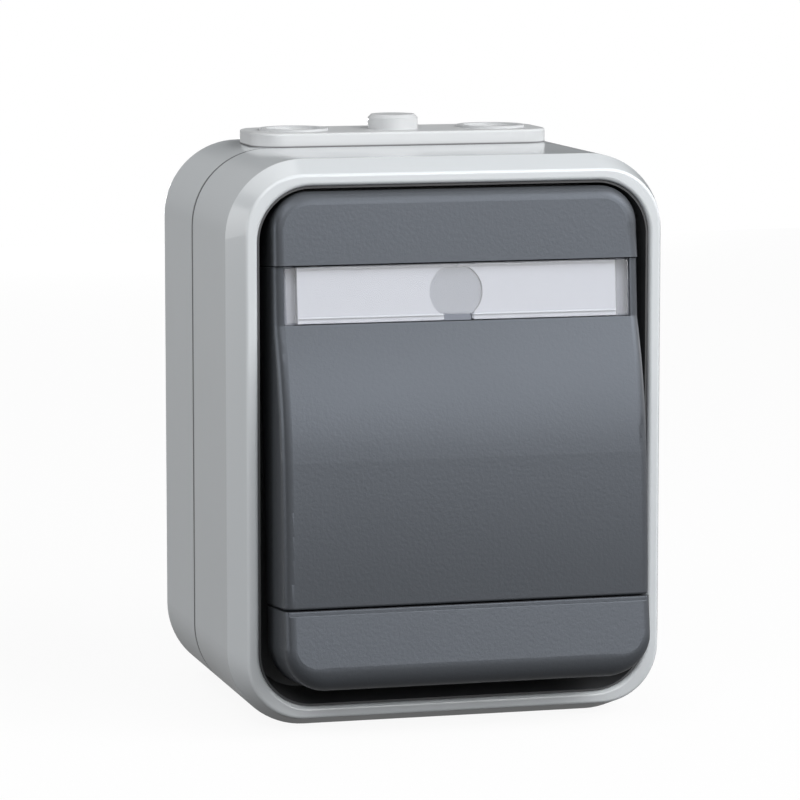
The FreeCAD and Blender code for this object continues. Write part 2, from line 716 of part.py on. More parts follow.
def make_label_window():
    """Clear cap with a shallow pocket behind it for the labels."""
    half = window_half_width - WINDOW_FIT
    cap = block(-half, half, card_front, window_face, window_bottom + WINDOW_FIT, panel_top)
    cap = round_edges(cap, edges_at_depth(cap, window_face), WINDOW_EDGE_ROUND)
    field = window_half_width - WINDOW_BORDER_SIDE
    pocket = block(
        -field,
        field,
        card_front,
        card_front + WINDOW_POCKET,
        window_bottom + WINDOW_FIT + WINDOW_BORDER_END,
        panel_top - WINDOW_BORDER_END,
    )
    half_notch = TAB_WIDTH / 2
    notch = block(-half_notch, half_notch, card_front, window_face, window_bottom, window_bottom + TAB_HEIGHT)
    return tilted(cap.cut(pocket).cut(notch))


def make_light_guide():
    """Round lens in the recess, with a stem through its floor and a tab in the window's notch."""
    head = rod(GUIDE_RADIUS, recess_face, card_front, 0, lamp_height)
    reach = window_half_width
    room = block(-reach, reach, recess_face, card_front, window_bottom + WINDOW_FIT, panel_top)
    stem = rod(GUIDE_STEM_RADIUS, carrier_front, recess_face, 0, lamp_height)
    half_tab = TAB_WIDTH / 2 - WINDOW_FIT
    tab_bottom = window_bottom + WINDOW_FIT
    tab_top = window_bottom + TAB_HEIGHT - WINDOW_FIT
    tab = block(-half_tab, half_tab, recess_face, window_face - TAB_SETBACK, tab_bottom, tab_top)
    return tilted(head.common(room).fuse([stem, tab]).removeSplitter())


def make_label_cards():
    """Two paper strips that flank the light guide."""
    half = window_half_width - WINDOW_FIT
    strip = block(-half, half, recess_face, card_front, window_bottom + WINDOW_FIT, panel_top)
    strip = strip.cut(rod(GUIDE_RADIUS + GUIDE_FIT, recess_face, card_front, 0, lamp_height))
    half_slot = TAB_WIDTH / 2
    strip = strip.cut(block(-half_slot, half_slot, recess_face, card_front, window_bottom, panel_top))
    return tilted(Part.makeCompound(strip.Solids))


def make_rocker_cradle():
    """Moving saddle with stub axles and the arm that holds the plunger."""
    saddle = block(
        -saddle_half_width,
        saddle_half_width,
        carrier_back - SADDLE_THICKNESS,
        carrier_back,
        -SADDLE_HALF_HEIGHT,
        SADDLE_HALF_HEIGHT,
    )
    neck_front = carrier_back - SADDLE_THICKNESS
    neck = block(-NECK_HALF_WIDTH, NECK_HALF_WIDTH, pivot, neck_front, -HUB_RADIUS, HUB_RADIUS)
    hub = cross_rod(HUB_RADIUS, -hub_half_width, hub_half_width, pivot)
    axles = cross_rod(AXLE_RADIUS, -ear_outer, ear_outer, pivot)
    arm = block(-ARM_HALF, ARM_HALF, pivot - ARM_REACH, pivot, -ARM_HALF, ARM_HALF)
    cradle = saddle.fuse([neck, hub, axles, arm])
    bore_end = pivot - TIP_REACH + PLUNGER_LENGTH + SPRING_ROOM
    bore = rod(PLUNGER_RADIUS + PLUNGER_FIT, pivot - ARM_REACH, bore_end)
    return tilted(cradle.cut(bore).removeSplitter())


def make_detent_plunger():
    """Round-nosed pin that slides in the cradle's arm."""
    tip = pivot - TIP_REACH
    shank = rod(PLUNGER_RADIUS, tip + PLUNGER_RADIUS, tip + PLUNGER_LENGTH)
    nose = Part.makeSphere(PLUNGER_RADIUS, at(0, tip + PLUNGER_RADIUS, 0))
    return tilted(shank.fuse(nose).removeSplitter())


def make_detent_spring():
    """Coil between the plunger and the end of its bore."""
    start = pivot - TIP_REACH + PLUNGER_LENGTH
    room = SPRING_ROOM - 2 * SPRING_END_GAP - SPRING_WIRE
    mean_radius = PLUNGER_RADIUS - SPRING_SIDE_GAP - SPRING_WIRE / 2
    helix = Part.makeHelix(room / SPRING_TURNS, room, mean_radius)
    section = Part.Wire(Part.makeCircle(SPRING_WIRE / 2, Vector(mean_radius, 0, 0), Vector(0, 1, 0)))
    coil = Part.Wire(helix).makePipeShell([section], True, True)
    coil = Part.Solid(coil)
    coil = coil.rotated(Vector(0, 0, 0), Vector(1, 0, 0), 90)
    return tilted(coil.translated(at(0, start + SPRING_END_GAP + SPRING_WIRE / 2, 0)))


def make_support_plate():
    """Steel plate with cut corners that clear the housing posts."""
    w, h = plate_half_width, plate_half_height
    cut = post_x + post_z - (POST_RADIUS + PLATE_POST_GAP) * math.sqrt(2)
    corners = [(w, h - (w + h - cut)), (w - (w + h - cut), h)]
    quarter = corners + [(-x, z) for x, z in reversed(corners)]
    points = [at(x, plate_back, z) for x, z in quarter + [(-x, -z) for x, z in quarter]]
    plate = Part.Face(Part.makePolygon(points + points[:1])).extrude(Vector(0, -PLATE_THICKNESS, 0))
    room = ARM_HALF + ARM_REACH * math.sin(tilt) + APERTURE_GAP
    plate = plate.cut(slab(2 * room, 2 * room, APERTURE_GAP, plate_back, plate_front))
    for x, z in plate_posts:
        plate = plate.cut(rod(SCREW_RADIUS + HOLE_CLEARANCE, plate_back, plate_front, x, z))
    for x, z in rivets:
        plate = plate.cut(rod(RIVET_RADIUS + RIVET_FIT, plate_back, plate_front, x, z))
    for x in (LAMP_PIN_OFFSET, -LAMP_PIN_OFFSET):
        hole = rod(LAMP_PIN_RADIUS + LAMP_PIN_INSULATION, plate_back, plate_front, x, lamp_height)
        plate = plate.cut(hole)
    return plate


def make_plate_seal():
    """Soft ring between the support plate and the cover's web."""
    w, h = seal_half_width, seal_half_height
    inner_w, inner_h = w - PLATE_SEAL_WIDTH, h - PLATE_SEAL_WIDTH
    ring = slab(2 * w, 2 * h, 2 * PLATE_SEAL_WIDTH, plate_front, web_back)
    return ring.cut(slab(2 * inner_w, 2 * inner_h, PLATE_SEAL_WIDTH, plate_front, web_back))


def make_bearing_bridge():
    """Plate with two bearing ears for the cradle's axles."""
    bridge = slab(2 * bridge_half_width, 2 * bridge_half_height, PLATE_SEAL_WIDTH, plate_front, bridge_front)
    room = ARM_HALF + ARM_REACH * math.sin(tilt) + APERTURE_GAP
    bridge = bridge.cut(slab(2 * ear_inner, 2 * room, APERTURE_GAP, plate_front, bridge_front))
    ear = block(ear_inner, ear_outer, plate_front, pivot, -EAR_RADIUS, EAR_RADIUS)
    ear = ear.fuse(cross_rod(EAR_RADIUS, ear_inner, ear_outer, pivot))
    ear = ear.cut(cross_rod(AXLE_RADIUS + BEARING_FIT, ear_inner, ear_outer, pivot))
    bridge = bridge.fuse(both_sides(ear))
    for x, z in rivets:
        bridge = bridge.cut(rod(RIVET_RADIUS + RIVET_FIT, plate_front, bridge_front, x, z))
        head_seat = bridge_front - RIVET_HEAD_HEIGHT
        bridge = bridge.cut(rod(RIVET_HEAD_RADIUS + RIVET_FIT, head_seat, bridge_front, x, z))
    for x in (LAMP_PIN_OFFSET, -LAMP_PIN_OFFSET):
        bridge = bridge.cut(rod(LAMP_PIN_RADIUS + LAMP_PIN_FIT, plate_front, bridge_front, x, lamp_height))
    return bridge.removeSplitter()


def make_bridge_rivets():
    """Rivets that hold bridge, support plate and mechanism block together."""
    solids = []
    for x, z in rivets:
        shank = rod(RIVET_RADIUS, plate_back - RIVET_LENGTH, bridge_front, x, z)
        head = rod(RIVET_HEAD_RADIUS, bridge_front - RIVET_HEAD_HEIGHT, bridge_front, x, z)
        solids.append(shank.fuse(head).removeSplitter())
    return Part.makeCompound(solids)


def terminal_at_top(shape):
    """The three places of a terminal that is modelled at the top: top, bottom and right."""
    middle = Vector(0, 0, 0)
    across = Vector(0, 1, 0)
    side_shift = Vector(terminal_outer_x - terminal_outer_z, 0, 0)
    return [
        shape,
        shape.rotated(middle, across, 180),
        shape.rotated(middle, across, 90).translated(side_shift),
    ]


wire_z = terminal_inner_z + WIRE_RADIUS + TERMINAL_ROOF
clamp_depth = (terminal_front + terminal_back) / 2


def make_mechanism_base():
    """Insulating block with the contact chamber, three terminal pockets and wire funnels."""
    w, h = mechanism_half_width, mechanism_half_height
    base = block(-w, w, mechanism_back, plate_back, -h, h)
    base = base.makeChamfer(MECHANISM_EDGE, edges_at_depth(base, mechanism_back))
    half = CHAMBER_HALF_WIDTH
    base = base.cut(block(-half, half, strip_back, plate_back, -chamber_half_height, chamber_half_height))
    pocket_half = TERMINAL_SIZE / 2 + TERMINAL_FIT
    pocket_front = terminal_front + TERMINAL_FIT
    pocket = block(-pocket_half, pocket_half, terminal_back, pocket_front, terminal_inner_z, h)
    slot_half = STRIP_HALF_WIDTH + TERMINAL_FIT
    slot = block(-slot_half, slot_half, strip_back, strip_front, chamber_half_height, terminal_inner_z)
    funnel = rod(WIRE_RADIUS + WIRE_FUNNEL, mechanism_back, terminal_back, 0, wire_z)
    for tool in (pocket, funnel):
        for placed in terminal_at_top(tool):
            base = base.cut(placed)
    base = base.cut(slot).cut(slot.rotated(Vector(0, 0, 0), Vector(0, 1, 0), 180))
    base = base.cut(block(half, terminal_inner_x, strip_back, strip_front, -slot_half, slot_half))
    for x, z in rivets:
        base = base.cut(rod(RIVET_RADIUS + RIVET_FIT, plate_back - RIVET_LENGTH, plate_back, x, z))
    pin_foot = plate_back - LAMP_PIN_BITE
    for x in (LAMP_PIN_OFFSET, -LAMP_PIN_OFFSET):
        base = base.cut(rod(LAMP_PIN_RADIUS + LAMP_PIN_FIT, pin_foot, plate_back, x, lamp_height))
    return base.removeSplitter()


def make_terminal_blocks():
    """Pillar terminals with a wire bore and a clamp screw hole."""
    half = TERMINAL_SIZE / 2
    pillar = block(-half, half, terminal_back, terminal_front, terminal_inner_z, terminal_outer_z)
    pillar = pillar.cut(rod(WIRE_RADIUS, terminal_back, strip_front, 0, wire_z))
    pillar = pillar.cut(upright(CLAMP_RADIUS + SCREW_FIT, wire_z, terminal_outer_z, 0, clamp_depth))
    return Part.makeCompound(terminal_at_top(pillar))


def make_terminal_screws():
    """Clamp screws of the terminals, driven from the sides of the block."""
    foot = wire_z + WIRE_RADIUS
    shank = upright(CLAMP_RADIUS, foot, terminal_outer_z, 0, clamp_depth)
    head = upright(CLAMP_HEAD_RADIUS, terminal_outer_z, terminal_outer_z + CLAMP_HEAD_HEIGHT, 0, clamp_depth)
    top = terminal_outer_z + CLAMP_HEAD_HEIGHT
    slot = block(
        -CLAMP_HEAD_RADIUS,
        CLAMP_HEAD_RADIUS,
        clamp_depth - SCREW_SLOT_WIDTH / 2,
        clamp_depth + SCREW_SLOT_WIDTH / 2,
        top - SCREW_SLOT_DEPTH,
        top,
    )
    return Part.makeCompound(terminal_at_top(shank.fuse(head).cut(slot).removeSplitter()))


def make_upper_contact():
    """Brass strip from the upper fixed contact to its terminal."""
    half = STRIP_HALF_WIDTH
    start = contact_z - CONTACT_RADIUS - STRIP_THICKNESS
    return block(-half, half, strip_back, strip_front, start, terminal_inner_z)


def make_common_terminal():
    """Brass fork that the contact lever rocks in, with a tail to its terminal."""
    fork_inner = LEVER_HALF_WIDTH + FORK_GAP
    fork_outer = fork_inner + FORK_THICKNESS
    foot = block(-fork_outer, fork_outer, strip_back, strip_front, -FORK_HALF_HEIGHT, FORK_HALF_HEIGHT)
    tail = block(0, terminal_inner_x, strip_back, strip_front, -STRIP_HALF_WIDTH, STRIP_HALF_WIDTH)
    fork_front = lever_axis + LEVER_PIN_RADIUS / 2
    tine = block(fork_inner, fork_outer, strip_back, fork_front, -FORK_HALF_HEIGHT, FORK_HALF_HEIGHT)
    notch_radius = LEVER_PIN_RADIUS + LEVER_PIN_FIT
    tine = tine.cut(cross_rod(notch_radius, fork_inner, fork_outer, lever_axis))
    tine = tine.cut(block(fork_inner, fork_outer, lever_axis, fork_front, -notch_radius, notch_radius))
    return foot.fuse([tail] + both_sides(tine)).removeSplitter()


def make_fixed_tips():
    """Contact rivets on the two fixed strips."""
    tips = [rod(CONTACT_RADIUS, strip_front, fixed_contact, 0, z) for z in (contact_z, -contact_z)]
    return Part.makeCompound(tips)


def make_contact_lever():
    """See-saw contact strip with its rocking pin."""
    half = LEVER_HALF_WIDTH
    strip = block(-half, half, lever_back, lever_face, -lever_half_length, lever_half_length)
    pin_end = half + FORK_GAP + FORK_THICKNESS
    lever = strip.fuse(cross_rod(LEVER_PIN_RADIUS, -pin_end, pin_end, lever_axis))
    return lever_tilted(lever.removeSplitter())


def make_lever_tips():
    """Contact rivets on both ends of the lever."""
    tip_back = lever_back - CONTACT_HEIGHT
    tips = [rod(CONTACT_RADIUS, tip_back, lever_back, 0, z) for z in (contact_z, -contact_z)]
    return lever_tilted(Part.makeCompound(tips))


def make_lamp_holder():
    """Small socket on the bridge that carries the lamp."""
    return rod(LAMP_HOLDER_RADIUS, bridge_front, bridge_front + LAMP_HOLDER_HEIGHT, 0, lamp_height)


def make_glow_lamp():
    """Round-ended bulb."""
    foot = bridge_front + LAMP_HOLDER_HEIGHT
    centre = foot + LAMP_LENGTH - LAMP_RADIUS
    bulb = rod(LAMP_RADIUS, foot, centre, 0, lamp_height)
    return bulb.fuse(Part.makeSphere(LAMP_RADIUS, at(0, centre, lamp_height))).removeSplitter()


def make_lamp_pins():
    """Contact pins of the lamp socket."""
    foot = plate_back - LAMP_PIN_BITE
    offsets = (LAMP_PIN_OFFSET, -LAMP_PIN_OFFSET)
    return Part.makeCompound([rod(LAMP_PIN_RADIUS, foot, bridge_front, x, lamp_height) for x in offsets])


def make_cover_screws():
    """Screws that hold collar and cover on the box."""
    seat = collar_back + WASHER_THICKNESS
    screw = slotted_screw(collar_back - SCREW_BITE, seat, SCREW_HEAD_RADIUS, SCREW_HEAD_HEIGHT)
    return Part.makeCompound([screw.translated(Vector(x, 0, z)) for x, z in cover_posts])


def make_cover_screw_washers():
    """Sealing washers under the cover screws."""
    outer = rod(SCREW_HEAD_RADIUS, collar_back, collar_back + WASHER_THICKNESS)
    ring = outer.cut(rod(SCREW_RADIUS + SCREW_FIT, collar_back, collar_back + WASHER_THICKNESS))
    return Part.makeCompound([ring.translated(Vector(x, 0, z)) for x, z in cover_posts])


def make_plate_screws():
    """Screws that hold the support plate on its posts."""
    screw = slotted_screw(plate_front - SCREW_BITE, plate_front, SCREW_HEAD_RADIUS, SCREW_HEAD_HEIGHT)
    return Part.makeCompound([screw.translated(Vector(x, 0, z)) for x, z in plate_posts])


def main():
    back_box, housing_seal = make_back_box()
    upper_contact = make_upper_contact()
    pieces = {
        "back_box": back_box,
        "housing_seal": housing_seal,
        "cover_frame": make_cover_frame(),
        "collar": make_collar(),
        "cover_screws": make_cover_screws(),
        "cover_screw_washers": make_cover_screw_washers(),
        "cable_entry": make_cable_entry(),
        "support_plate": make_support_plate(),
        "plate_screws": make_plate_screws(),
        "plate_seal": make_plate_seal(),
        "mechanism_base": make_mechanism_base(),
        "bearing_bridge": make_bearing_bridge(),
        "bridge_rivets": make_bridge_rivets(),
        "terminal_blocks": make_terminal_blocks(),
        "terminal_screws": make_terminal_screws(),
        "common_terminal": make_common_terminal(),
        "upper_contact": upper_contact,
        "lower_contact": upper_contact.rotated(Vector(0, 0, 0), Vector(0, 1, 0), 180),
        "fixed_tips": make_fixed_tips(),
        "lamp_holder": make_lamp_holder(),
        "lamp_pins": make_lamp_pins(),
        "glow_lamp": make_glow_lamp(),
        "rocker_frame": make_rocker_frame(),
        "rocker_panel": make_rocker_panel(),
        "label_window": make_label_window(),
        "label_cards": make_label_cards(),
        "light_guide": make_light_guide(),
        "rocker_cradle": make_rocker_cradle(),
        "detent_spring": make_detent_spring(),
        "detent_plunger": make_detent_plunger(),
        "contact_lever": make_contact_lever(),
        "lever_tips": make_lever_tips(),
    }
    os.makedirs("parts", exist_ok=True)
    for name, shape in pieces.items():
        print(f"{name}: {len(shape.Solids)} solid(s), {shape.Volume:.1f} mm3, valid {shape.isValid()}")
        shape.exportStep(f"parts/{name}.step")


main()
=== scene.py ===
# %% [markdown]
# # A weatherproof rocker switch
# The switch is a deep grey box with a soft cable plate on top and a broad dark rocker in front.
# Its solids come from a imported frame, in metres: the wall is the plane Y = 0, the front faces -Y and Z is up.
# This lesson gives each surface its finish, remodels the small clear and soft pieces, and sets up the studio.

# %% Load the frame
import json
import math

import bpy
from mathutils import Matrix, Vector

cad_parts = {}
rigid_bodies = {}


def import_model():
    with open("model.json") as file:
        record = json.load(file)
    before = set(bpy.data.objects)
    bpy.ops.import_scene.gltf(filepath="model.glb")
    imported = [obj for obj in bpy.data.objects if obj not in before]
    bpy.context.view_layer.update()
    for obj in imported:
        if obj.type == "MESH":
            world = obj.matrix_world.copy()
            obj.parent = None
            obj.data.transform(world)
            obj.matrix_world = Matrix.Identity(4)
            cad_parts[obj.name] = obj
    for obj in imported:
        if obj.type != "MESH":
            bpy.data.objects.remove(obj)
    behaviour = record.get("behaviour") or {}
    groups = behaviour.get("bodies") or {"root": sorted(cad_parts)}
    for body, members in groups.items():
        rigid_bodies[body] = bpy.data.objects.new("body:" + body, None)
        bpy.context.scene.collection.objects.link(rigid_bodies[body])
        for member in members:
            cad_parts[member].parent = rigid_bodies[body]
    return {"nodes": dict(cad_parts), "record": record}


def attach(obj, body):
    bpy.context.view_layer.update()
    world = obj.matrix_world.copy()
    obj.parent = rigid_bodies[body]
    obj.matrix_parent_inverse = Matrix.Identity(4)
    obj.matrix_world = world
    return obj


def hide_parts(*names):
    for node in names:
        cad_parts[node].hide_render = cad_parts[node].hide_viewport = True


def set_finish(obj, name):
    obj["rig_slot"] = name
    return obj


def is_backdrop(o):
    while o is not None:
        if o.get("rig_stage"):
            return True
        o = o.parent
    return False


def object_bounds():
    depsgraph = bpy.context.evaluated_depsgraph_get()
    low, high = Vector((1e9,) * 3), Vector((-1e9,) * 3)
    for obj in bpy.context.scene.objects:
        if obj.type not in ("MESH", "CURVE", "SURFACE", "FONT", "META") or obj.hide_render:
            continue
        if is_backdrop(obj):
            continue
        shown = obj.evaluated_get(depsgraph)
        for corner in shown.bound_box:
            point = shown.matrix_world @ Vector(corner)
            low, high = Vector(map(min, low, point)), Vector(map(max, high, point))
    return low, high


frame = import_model()
cad_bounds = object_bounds()
nodes = frame["nodes"]
MM = 0.001

# %% [markdown]
# The photograph was taken with a long lens from the left, a little above the switch.
# A long lens keeps the sides almost parallel, so the focal length matters more than the distance for a match.
# The camera is placed by its real position and aimed along its line of sight.

# %% Camera
CAMERA_PLACE = Vector((-169.05, -645.08, 87.47)) * MM
CAMERA_AZIMUTH = math.radians(15.06)
CAMERA_PITCH = math.radians(7.448)
CAMERA_LENS = 193.62

sight = Vector(
    (
        math.sin(CAMERA_AZIMUTH) * math.cos(CAMERA_PITCH),
        math.cos(CAMERA_AZIMUTH) * math.cos(CAMERA_PITCH),
        -math.sin(CAMERA_PITCH),
    )
)
camera_data = bpy.data.cameras.new("product_camera")
camera_data.lens = CAMERA_LENS
camera_data.sensor_width = 36.0
camera_data.clip_start = 0.01
camera = bpy.data.objects.new("product_camera", camera_data)
camera.location = CAMERA_PLACE
camera.rotation_euler = sight.to_track_quat("-Z", "Y").to_euler()
bpy.context.scene.collection.objects.link(camera)
bpy.context.scene.camera = camera
print("camera looks along", tuple(round(value, 3) for value in sight))

# %% [markdown]
# The rocker rests at a tilt, so the pieces of its window are modelled level and then tilted into place.
# The level size of a piece is read from its solid in the frame, turned back by the same angle.

# %% Level and tilt
PIVOT = Vector((0, -40, 0)) * MM
TILT = math.radians(-5)
tilt = Matrix.Translation(PIVOT) @ Matrix.Rotation(TILT, 4, "X") @ Matrix.Translation(-PIVOT)
level = tilt.inverted()


def level_box(node):
    """Lowest and highest corner of a rocker node before it was tilted."""
    points = [level @ vertex.co for vertex in nodes[node].data.vertices]
    low = Vector([min(point[axis] for point in points) for axis in range(3)])
    high = Vector([max(point[axis] for point in points) for axis in range(3)])
    return low, high


window_low, window_high = level_box("label_window")
print("clear window, level size in mm:", [round(side / MM, 2) for side in window_high - window_low])

# %% [markdown]
# Each new piece starts as a primitive and is cut and softened with ordinary modelling tools.
# These helpers add a block or a disc, join or cut shapes, and round the edges that a test picks out.

# %% Modelling helpers
def activate(piece):
    bpy.ops.object.select_all(action="DESELECT")
    piece.select_set(True)
    bpy.context.view_layer.objects.active = piece
    return piece


def add_block(name, low, high):
    """Box between two corners, with its place in the mesh."""
    low, high = Vector(low), Vector(high)
    bpy.ops.object.select_all(action="DESELECT")
    bpy.ops.mesh.primitive_cube_add(size=1, location=(low + high) / 2, scale=high - low)
    piece = bpy.context.object
    piece.name = name
    bpy.ops.object.transform_apply(location=True, rotation=True, scale=True)
    return piece


def add_disc(name, radius, centre, back, front):
    """Cylinder along Y between two values of Y."""
    bpy.ops.object.select_all(action="DESELECT")
    bpy.ops.mesh.primitive_cylinder_add(
        vertices=96,
        radius=radius,
        depth=back - front,
        location=(centre[0], (back + front) / 2, centre[1]),
        rotation=(math.pi / 2, 0, 0),
    )
    piece = bpy.context.object
    piece.name = name
    bpy.ops.object.transform_apply(location=True, rotation=True, scale=True)
    return piece


def combine(piece, tool, operation):
    """Join the tool to the piece or cut it out, and remove the tool."""
    activate(piece)
    modifier = piece.modifiers.new("combine", "BOOLEAN")
    modifier.operation = operation
    modifier.solver = "EXACT"
    modifier.object = tool
    bpy.ops.object.modifier_apply(modifier="combine")
    bpy.data.objects.remove(tool)


def cut(piece, tool):
    combine(piece, tool, "DIFFERENCE")


def unite(piece, part):
    combine(piece, part, "UNION")


def round_edges(piece, picked, width, segments):
    """Bevel the edges whose two end points pass the test."""
    activate(piece)
    bpy.ops.object.mode_set(mode="EDIT")
    bpy.ops.mesh.select_mode(type="EDGE")
    bpy.ops.mesh.select_all(action="DESELECT")
    bpy.ops.object.mode_set(mode="OBJECT")
    count = 0
    for edge in piece.data.edges:
        first, last = (piece.data.vertices[index].co for index in edge.vertices)
        edge.select = picked(first, last)
        count += edge.select
    bpy.ops.object.mode_set(mode="EDIT")
    bpy.ops.mesh.bevel(offset=width, offset_type="OFFSET", segments=segments, profile=0.5, clamp_overlap=True)
    bpy.ops.object.mode_set(mode="OBJECT")
    return count


def seat_on_rocker(piece, slot_name, node=None):
    """Shade a level piece with flat faces and soft rounds, tilt it and let it ride on the rocker."""
    activate(piece)
    bpy.ops.object.shade_smooth_by_angle(angle=math.radians(35))
    modifier = piece.modifiers.new("flat_faces", "WEIGHTED_NORMAL")
    modifier.keep_sharp = True
    bpy.ops.object.modifier_apply(modifier="flat_faces")
    piece.matrix_world = tilt
    bpy.ops.object.transform_apply(location=True, rotation=True, scale=True)
    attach(piece, "rocker")
    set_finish(piece, slot_name)
    if node:
        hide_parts(node)
    print(piece.name, "has", len(piece.data.polygons), "faces")


# %% [markdown]
# The label cap is a block of clear acrylic, about two millimetres thick, pressed into the rocker's recess.
# The mould hollows its back, so the label sits behind a thin pane, and leaves the ends thick, which shows as
# a border at either side of the label. A notch in the lower rim lets a tab of the lens through.

# %% Clear window cap
CAP_BORDER_SIDE = 1.9 * MM
CAP_BORDER_END = 0.15 * MM
CAP_PANE = 0.35 * MM
TAB_HALF = 2.1 * MM
TAB_HEIGHT = 0.9 * MM
SLACK = 1.0 * MM

cap_front, cap_back = window_low.y, window_high.y
cap_foot = window_low.z
pocket_face = cap_front + CAP_PANE
pocket_half = window_high.x - CAP_BORDER_SIDE
pocket_low, pocket_high = window_low.z + CAP_BORDER_END, window_high.z - CAP_BORDER_END
cap = add_block("window_cap", window_low, window_high)
pocket = add_block(
    "pocket_tool", (-pocket_half, pocket_face, pocket_low), (pocket_half, cap_back + SLACK, pocket_high)
)
cut(cap, pocket)
notch = add_block(
    "notch_tool",
    (-TAB_HALF, cap_front - SLACK, cap_foot - SLACK),
    (TAB_HALF, cap_back + SLACK, cap_foot + TAB_HEIGHT),
)
cut(cap, notch)
pocket_depth = cap_back - pocket_face
print("window cap: pane", round(CAP_PANE / MM, 2), "mm, pocket", round(pocket_depth / MM, 2), "mm deep")

# %% [markdown]
# A mould can't make sharp edges, and a rounded front edge gives acrylic its bright outline.
# The front is rounded more than the edges of the hollow back.

# %% Rounded cap
CAP_FRONT_ROUND = 0.3 * MM
CAP_FINE_ROUND = 0.06 * MM
TINY = 1e-6


def up_to(limit):
    """Test for edges that lie no further back than a value of Y."""
    return lambda first, last: max(first.y, last.y) < limit + TINY


def behind(limit):
    """Test for edges that lie no further forward than a value of Y."""
    return lambda first, last: min(first.y, last.y) > limit - TINY


front_edges = round_edges(cap, up_to(cap_front), CAP_FRONT_ROUND, 4)
back_edges = round_edges(cap, behind(pocket_face), CAP_FINE_ROUND, 2)
print("window cap:", front_edges, "front and", back_edges, "back edges rounded")
seat_on_rocker(cap, "window_clear", "label_window")

# %% [markdown]
# The labels are two strips of white card, cut round the lens and slipped in behind the cap.
# Each has a raised face that fills the cap's pocket, so the paper shows close behind the pane.
# The lens stands between them, a little left of the middle, and is trimmed flat below the labels' head.

# %% Label places
LENS_GAP = 0.05 * MM
LENS_TRIM = 0.12 * MM
LENS_SHIFT = -0.25 * MM
LABEL_FIT = 0.06 * MM
BEAD = 0.2 * MM
HEAD_HEIGHT = 0.68 * MM

cards_low, cards_high = level_box("label_cards")
guide_low, guide_high = level_box("light_guide")
lens_radius = (guide_high.x - guide_low.x) / 2 - LENS_TRIM
lens_centre = (LENS_SHIFT, (cards_low.z + cards_high.z) / 2)
card_front, card_back = cards_low.y, cards_high.y
label_front = pocket_face + BEAD + LABEL_FIT
head_low = window_high.z - HEAD_HEIGHT
span = 2 * pocket_half


def across(low, high, back):
    """Block across both strips, from in front of the labels to a depth."""
    return add_block("across_tool", (-span, label_front - SLACK, low), (span, back, high))


def lens_disc(name, radius, back, front):
    """Disc of the lens, trimmed flat below the labels' head."""
    disc = add_disc(name, radius, lens_centre, back, front)
    cut(disc, across(head_low, head_low + span, back + SLACK))
    return disc


print("labels lie", round((label_front - cap_front) / MM, 2), "mm behind the cap's front")

# %% [markdown]
# A groove near the head of each strip and a bevelled bead above a groove at its foot stiffen the card.
# Behind the pane they show as thin bright and dark lines.

# %% Label strips
CARD_ROUND = 0.05 * MM
BEAD_HEIGHT = 0.79 * MM
BEAD_BEVEL = 0.9 * BEAD
GROOVE_WIDTH = 0.16 * MM
GROOVE_DEPTH = 0.3 * MM

bead_low = cap_foot + BEAD_HEIGHT
groove_back = label_front + GROOVE_DEPTH
face_low, face_high = pocket_low + LABEL_FIT, pocket_high - LABEL_FIT


def on_bead_edge(first, last):
    return max(first.y, last.y) < label_front - BEAD / 2 and min(first.z, last.z) > bead_low + BEAD / 2


for side, name in ((-1, "label_strip_left"), (1, "label_strip_right")):
    inner, outer = sorted((side * LENS_GAP, side * cards_high.x))
    strip = add_block(name, (inner, card_front, cards_low.z), (outer, card_back, cards_high.z))
    inner, outer = sorted((side * LENS_GAP, side * (pocket_half - LABEL_FIT)))
    face = add_block("label_face", (inner, label_front, face_low), (outer, card_front, face_high))
    for piece in (strip, face):
        cut(piece, lens_disc("lens_tool", lens_radius + LENS_GAP, card_back + SLACK, label_front - SLACK))
        foot = (TAB_HALF, card_back + SLACK, cap_foot + TAB_HEIGHT)
        cut(piece, add_block("foot_tool", (-TAB_HALF, label_front - SLACK, cap_foot - SLACK), foot))
    cut(face, across(bead_low - GROOVE_WIDTH, bead_low, groove_back))
    cut(face, across(head_low, head_low + GROOVE_WIDTH, groove_back))
    round_edges(face, up_to(label_front), CARD_ROUND, 2)
    inner, outer = sorted((side * TAB_HALF, side * (pocket_half - LABEL_FIT)))
    bead_end = (outer, label_front, bead_low + BEAD)
    bead = add_block("label_bead", (inner, label_front - BEAD, bead_low), bead_end)
    round_edges(bead, on_bead_edge, BEAD_BEVEL, 1)
    unite(face, bead)
    unite(strip, face)
    seat_on_rocker(strip, "label_white", "label_cards")

# %% [markdown]
# The lens is a light guide: a grey, slightly milky disc with a stem that reaches back to the glow lamp.
# Its face lies just behind the labels' face, and a tab below it fills the cap's notch.

# %% Light lens
LENS_ROUND = 0.05 * MM
LENS_SETBACK = 0.25 * MM
TAB_SETBACK = 0.7 * MM
STEM_RADIUS = 3.0 * MM
TAB_CLEAR = 0.1 * MM

lens_front = label_front + LENS_SETBACK
tab_front = cap_front + TAB_SETBACK
lens = lens_disc("light_lens", lens_radius, card_back, lens_front)
round_edges(lens, up_to(lens_front), LENS_ROUND, 3)
stem = add_disc("lens_stem", STEM_RADIUS, lens_centre, guide_high.y, card_front)
tab = add_block(
    "lens_tab",
    (TAB_CLEAR - TAB_HALF, tab_front, cap_foot),
    (TAB_HALF - TAB_CLEAR, card_front, cap_foot + TAB_HEIGHT - TAB_CLEAR),
)
round_edges(tab, up_to(tab_front), LENS_ROUND, 3)
for part in (stem, tab):
    unite(lens, part)
seat_on_rocker(lens, "guide_grey", "light_guide")

# %% [markdown]
# The cable plate is a soft moulding. Each membrane is stepped in thin rings, so a cable of any size tears
# a clean round hole where it is pushed through. The rings are added on top of the plain plate.

